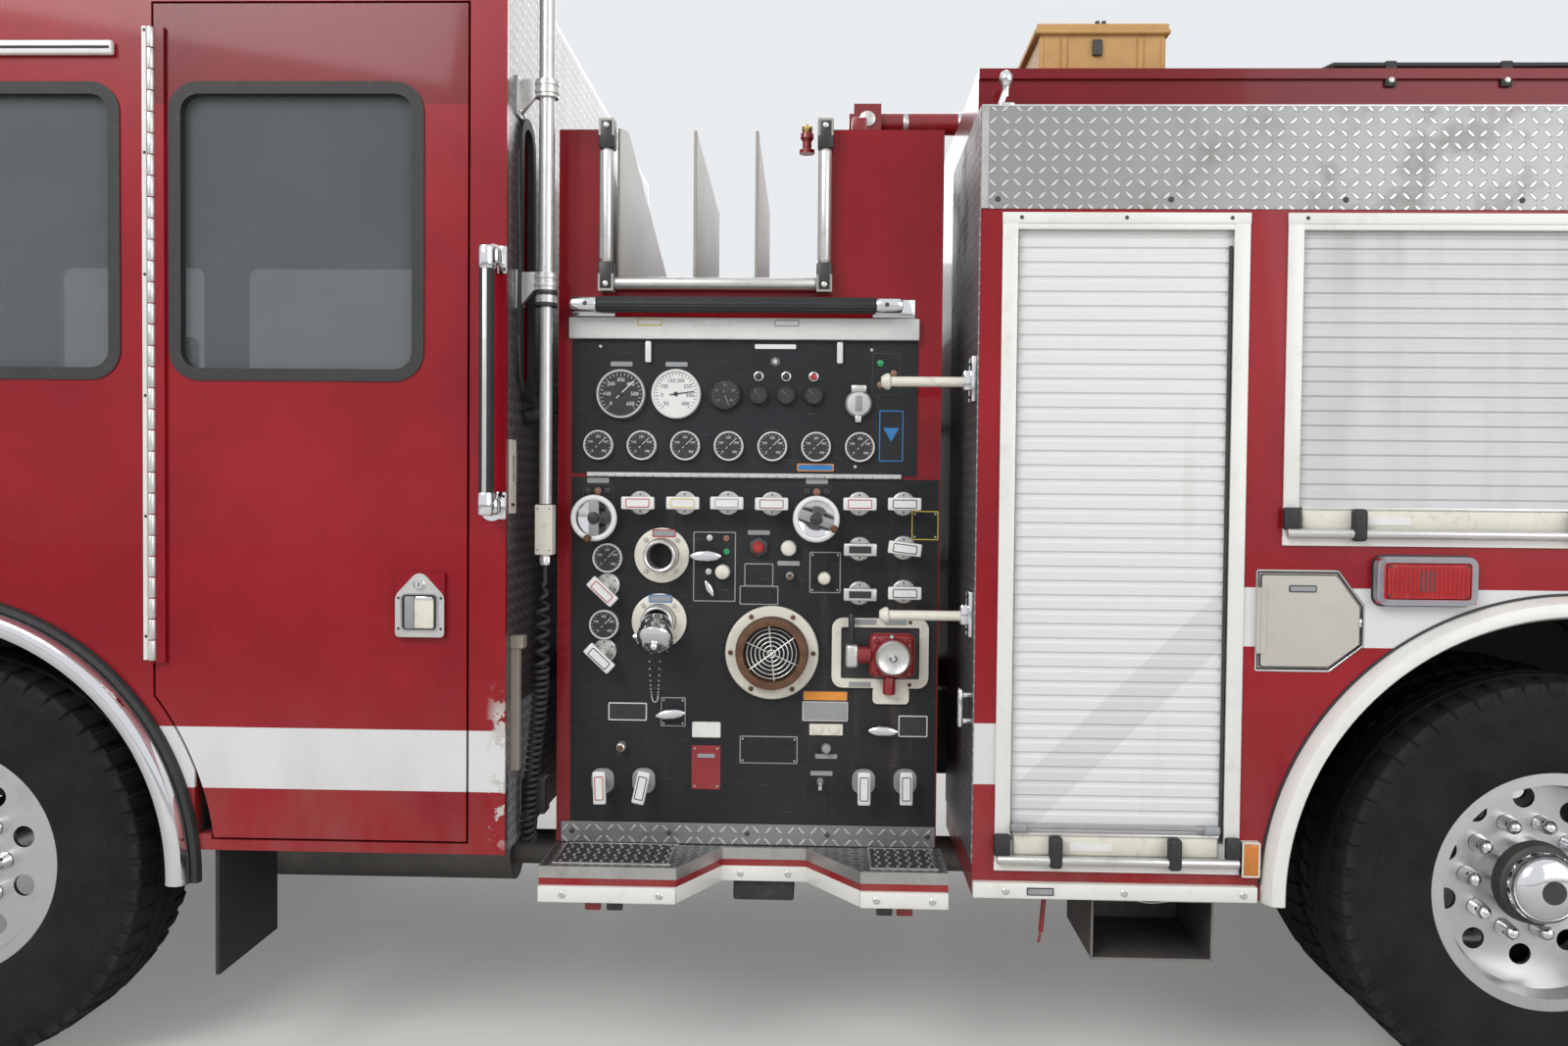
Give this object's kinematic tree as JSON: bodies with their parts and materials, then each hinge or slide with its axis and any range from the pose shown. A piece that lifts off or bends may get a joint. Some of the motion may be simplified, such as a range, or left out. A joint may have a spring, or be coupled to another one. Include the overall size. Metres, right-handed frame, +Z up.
{
  "type": "fire engine",
  "caption": "Municipal fire engine with tilting four-door cab, side pump panel, roller-shutter lockers and twin rear wheels.",
  "frame": {"origin": "on the ground at half the length and half the width", "axes": "+X toward the rear, +Y toward the vehicle's right, +Z up"},
  "size_m": [8.39, 3, 3.3098],
  "materials": {
    "red_paint": "gloss",
    "chassis_paint": "satin",
    "black_panel": "satin",
    "tread_plate": "embossed",
    "shutter_aluminium": "satin",
    "rim_aluminium": "brushed",
    "chrome": "polished",
    "tyre": "matt",
    "rubber": "matt",
    "glass": "tinted",
    "trim_plastic": "matt",
    "seat_fabric": "woven",
    "cream_casting": "gloss",
    "tank_plastic": "matt",
    "cast_steel": "rough",
    "lamp_plastic": "gloss",
    "vinyl": "coated",
    "case_plastic": "matt",
    "gun_paint": "gloss"
  },
  "bodies": {
    "chassis": {"chassis_frame": "chassis_paint", "front_bumper": "chrome", "running_gear": "cast_steel", "engine_block": "cast_steel", "exhaust_pipe": "chassis_paint", "tanks": "tank_plastic", "pump_unit": "cast_steel", "pump_house": "red_paint", "pump_panels": "black_panel", "crosslay_frame": "shutter_aluminium", "pump_ports": "cream_casting", "panel_controls": "chrome", "hand_rails": "rubber", "running_steps": "tread_plate", "locker_left": "red_paint", "locker_right": "red_paint", "rear_locker": "red_paint", "hose_bed": "red_paint", "hose_bed_cover": "vinyl", "roller_shutters": "shutter_aluminium", "fenders_and_rub_rails": "shutter_aluminium", "tread_plates": "tread_plate", "tailboard": "tread_plate", "marker_lamps": "lamp_plastic", "rear_mud_flaps": "rubber", "storage_case": "case_plastic"},
    "cab": {"cab_shell": "red_paint", "cab_glass": "glass", "cab_interior": "trim_plastic", "seats": "seat_fabric", "light_bar": "lamp_plastic", "mirrors_and_grab_bars": "chrome", "grille": "chrome", "headlights": "chrome", "front_fenders": "chrome", "front_mud_flaps": "rubber", "mast_sleeve": "shutter_aluminium", "mast_cord": "rubber"},
    "mast": {"mast_pole": "shutter_aluminium"},
    "gauge_panel": {"gauge_panel": "black_panel"},
    "fill_door": {"fill_door": "red_paint"},
    "storage_lid": {"storage_lid": "case_plastic"},
    "gun_swivel": {"gun_swivel": "gun_paint"},
    "gun_barrel": {"gun_barrel": "gun_paint"},
    "front_door_left": {"front_door_left": "red_paint"},
    "crew_door_left": {"crew_door_left": "red_paint"},
    "knuckle_left": {"knuckle_left": "cast_steel"},
    "front_wheel_left": {"front_tyre_left": "tyre", "front_rim_left": "rim_aluminium"},
    "rear_wheels_left": {"rear_tyres_left": "tyre", "rear_rims_left": "rim_aluminium"},
    "front_door_right": {"front_door_right": "red_paint"},
    "crew_door_right": {"crew_door_right": "red_paint"},
    "knuckle_right": {"knuckle_right": "cast_steel"},
    "front_wheel_right": {"front_tyre_right": "tyre", "front_rim_right": "rim_aluminium"},
    "rear_wheels_right": {"rear_tyres_right": "tyre", "rear_rims_right": "rim_aluminium"}
  },
  "joints": [
    {"name": "cab_tilt", "type": "hinge", "parent": "chassis", "child": "cab", "pos_m": [-3.495, 0, 0.85], "axis": [0, -1, 0], "range_deg": [0, 45]},
    {"name": "mast_lift", "type": "slide", "parent": "cab", "child": "mast", "axis": [0, 0, 1], "range_m": [0, 0.45], "deforming": ["mast_cord"]},
    {"name": "gauge_panel_hinge", "type": "hinge", "parent": "chassis", "child": "gauge_panel", "pos_m": [0, -1.042, 1.55], "axis": [1, 0, 0], "range_deg": [0, 75]},
    {"name": "fill_door_hinge", "type": "hinge", "parent": "chassis", "child": "fill_door", "pos_m": [1.121, -1.2563, 1.21], "axis": [0, 0, -1], "range_deg": [0, 100]},
    {"name": "storage_lid_hinge", "type": "hinge", "parent": "chassis", "child": "storage_lid", "pos_m": [0.7495, -0.6837, 2.6623], "axis": [-1, 0, 0], "range_deg": [0, 95]},
    {"name": "gun_swivel_turn", "type": "hinge", "parent": "chassis", "child": "gun_swivel", "pos_m": [0.195, -0.1, 2.495], "axis": [0, 0, 1], "continuous": true},
    {"name": "gun_elevation", "type": "hinge", "parent": "gun_swivel", "child": "gun_barrel", "pos_m": [0.195, -0.1, 2.735], "axis": [0, -1, 0], "range_deg": [-10, 80]},
    {"name": "front_door_left_hinge", "type": "hinge", "parent": "cab", "child": "front_door_left", "pos_m": [-3.433, -1.2593, 1.65], "axis": [0, 0, -1], "range_deg": [0, 70]},
    {"name": "crew_door_left_hinge", "type": "hinge", "parent": "cab", "child": "crew_door_left", "pos_m": [-1.606, -1.2593, 1.65], "axis": [0, 0, -1], "range_deg": [0, 70]},
    {"name": "steer_left", "type": "hinge", "parent": "chassis", "child": "knuckle_left", "pos_m": [-2.195, -0.868, 0.535], "axis": [0, 0, 1], "range_deg": [-35, 35]},
    {"name": "front_wheel_left_spin", "type": "hinge", "parent": "knuckle_left", "child": "front_wheel_left", "pos_m": [-2.195, -1.064, 0.535], "axis": [0, 1, 0], "continuous": true},
    {"name": "rear_wheels_left_spin", "type": "hinge", "parent": "chassis", "child": "rear_wheels_left", "pos_m": [1.883, -1.064, 0.535], "axis": [0, 1, 0], "continuous": true},
    {"name": "front_door_right_hinge", "type": "hinge", "parent": "cab", "child": "front_door_right", "pos_m": [-3.433, 1.2593, 1.65], "axis": [0, 0, 1], "range_deg": [0, 70]},
    {"name": "crew_door_right_hinge", "type": "hinge", "parent": "cab", "child": "crew_door_right", "pos_m": [-1.606, 1.2593, 1.65], "axis": [0, 0, 1], "range_deg": [0, 70]},
    {"name": "steer_right", "type": "hinge", "parent": "chassis", "child": "knuckle_right", "pos_m": [-2.195, 0.868, 0.535], "axis": [0, 0, 1], "range_deg": [-35, 35]},
    {"name": "front_wheel_right_spin", "type": "hinge", "parent": "knuckle_right", "child": "front_wheel_right", "pos_m": [-2.195, 1.064, 0.535], "axis": [0, 1, 0], "continuous": true},
    {"name": "rear_wheels_right_spin", "type": "hinge", "parent": "chassis", "child": "rear_wheels_right", "pos_m": [1.883, 1.064, 0.535], "axis": [0, 1, 0], "continuous": true}
  ],
  "couplings": [
    {"joint": "steer_right", "follows": "steer_left", "ratio": 1}
  ]
}
